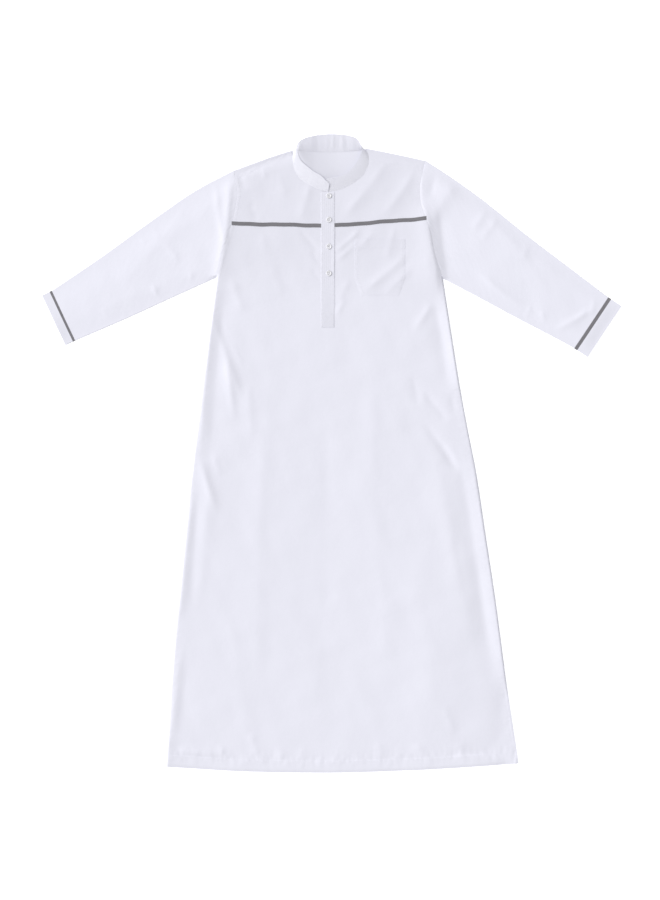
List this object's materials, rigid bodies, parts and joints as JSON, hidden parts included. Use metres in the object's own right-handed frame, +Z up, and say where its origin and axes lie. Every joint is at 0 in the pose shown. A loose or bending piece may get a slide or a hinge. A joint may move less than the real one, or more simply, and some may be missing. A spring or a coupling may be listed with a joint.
{
  "type": "thobe robe laid flat",
  "caption": "Long white robe laid flat on its back: band collar, half placket with buttons, chest pocket, set-in sleeves and grey tape on chest and cuffs.",
  "frame": {"origin": "middle of the outline of the robe as it lies, on the surface it lies on", "axes": "+Z up from the surface, out of the robe's front; +Y towards the collar; +X to the right as one looks down on the front"},
  "size_m": [1.2304, 1.3526, 0.0118],
  "materials": {
    "white_cloth": "plain weave, matte with a faint sheen",
    "grey_tape": "ribbed woven tape, matte",
    "pearl_button": "pearly, polished"
  },
  "bodies": {
    "root": {"back_body": "white_cloth", "front_body": "white_cloth", "yoke": "white_cloth", "sleeve_left": "white_cloth", "sleeve_right": "white_cloth", "cuff_left": "white_cloth", "cuff_right": "white_cloth", "cuff_tape_left": "grey_tape", "cuff_tape_right": "grey_tape", "collar": "white_cloth", "placket_top": "white_cloth", "placket_under": "white_cloth", "chest_tape_left": "grey_tape", "chest_tape_right": "grey_tape", "chest_pocket": "white_cloth", "button_1": "pearl_button", "button_2": "pearl_button", "button_3": "pearl_button", "button_4": "pearl_button"}
  },
  "joints": []
}
